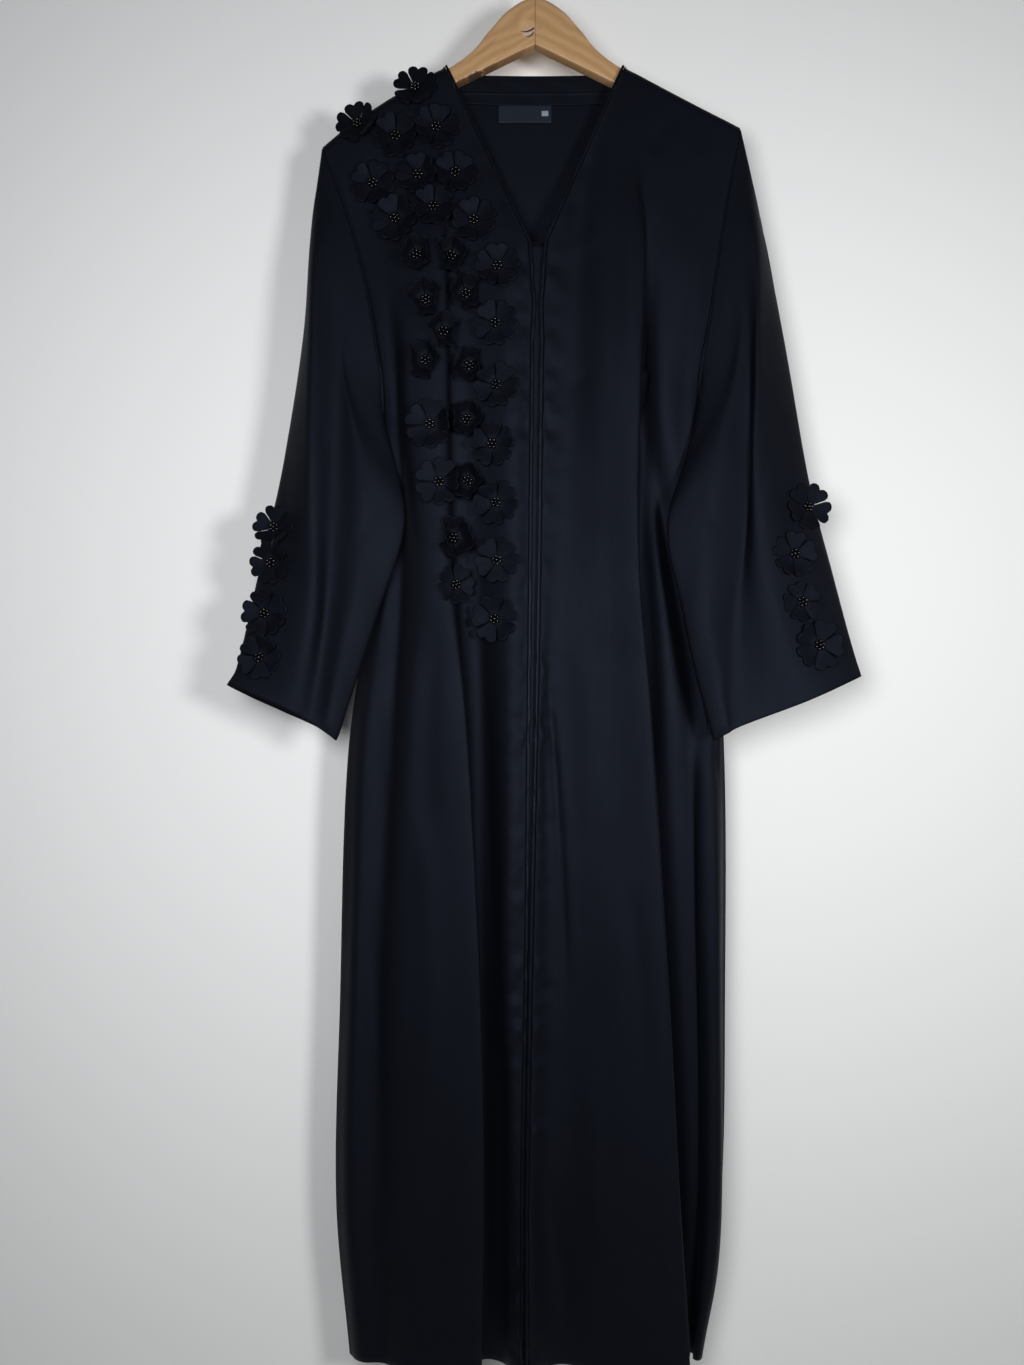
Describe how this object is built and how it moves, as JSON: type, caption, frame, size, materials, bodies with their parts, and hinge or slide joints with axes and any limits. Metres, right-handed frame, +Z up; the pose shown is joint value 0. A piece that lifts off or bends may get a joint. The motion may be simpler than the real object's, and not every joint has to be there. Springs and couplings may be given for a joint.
{
  "type": "abaya on a hanger",
  "caption": "Long black open-front abaya with V neck, wide sleeves and appliqued fabric flowers, hanging on a wooden hanger with a wire hook.",
  "frame": {"origin": "inner top of the hanger's hook, where it hangs on a rail", "axes": "+Z up along the cloak, -Y towards its front, +X to the wearer's left"},
  "size_m": [0.6385, 0.0809, 1.4625],
  "materials": {
    "crepe": "matte black crepe",
    "satin_trim": "soft satin binding",
    "flower_cloth": "dull black, crisp cut edges",
    "label_weave": "fine woven black",
    "size_tab_weave": "pale woven tab",
    "varnished_wood": "clear satin varnish",
    "steel_wire": "bright plated wire"
  },
  "bodies": {
    "root": {"back_neck_facing": "crepe", "back_panel": "crepe", "binding_left": "satin_trim", "binding_right": "satin_trim", "flower_bodice_01": "flower_cloth", "flower_bodice_02": "flower_cloth", "flower_bodice_03": "flower_cloth", "flower_bodice_04": "flower_cloth", "flower_bodice_05": "flower_cloth", "flower_bodice_06": "flower_cloth", "flower_bodice_07": "flower_cloth", "flower_bodice_08": "flower_cloth", "flower_bodice_09": "flower_cloth", "flower_bodice_10": "flower_cloth", "flower_bodice_11": "flower_cloth", "flower_bodice_12": "flower_cloth", "flower_bodice_13": "flower_cloth", "flower_bodice_14": "flower_cloth", "flower_bodice_15": "flower_cloth", "flower_bodice_16": "flower_cloth", "flower_bodice_17": "flower_cloth", "flower_bodice_18": "flower_cloth", "flower_bodice_19": "flower_cloth", "flower_bodice_20": "flower_cloth", "flower_bodice_21": "flower_cloth", "flower_bodice_22": "flower_cloth", "flower_bodice_23": "flower_cloth", "flower_bodice_24": "flower_cloth", "flower_bodice_25": "flower_cloth", "flower_bodice_26": "flower_cloth", "flower_bodice_27": "flower_cloth", "flower_bodice_28": "flower_cloth", "flower_bodice_29": "flower_cloth", "flower_bodice_30": "flower_cloth", "flower_cuff_left_01": "flower_cloth", "flower_cuff_left_02": "flower_cloth", "flower_cuff_left_03": "flower_cloth", "flower_cuff_left_04": "flower_cloth", "flower_cuff_right_01": "flower_cloth", "flower_cuff_right_02": "flower_cloth", "flower_cuff_right_03": "flower_cloth", "flower_cuff_right_04": "flower_cloth", "front_left": "crepe", "front_right": "crepe", "hanger_hook": "steel_wire", "hanger_left": "varnished_wood", "hanger_right": "varnished_wood", "label": "label_weave", "size_tab": "size_tab_weave", "sleeve_left": "crepe", "sleeve_right": "crepe", "under_placket": "crepe"}
  },
  "joints": []
}
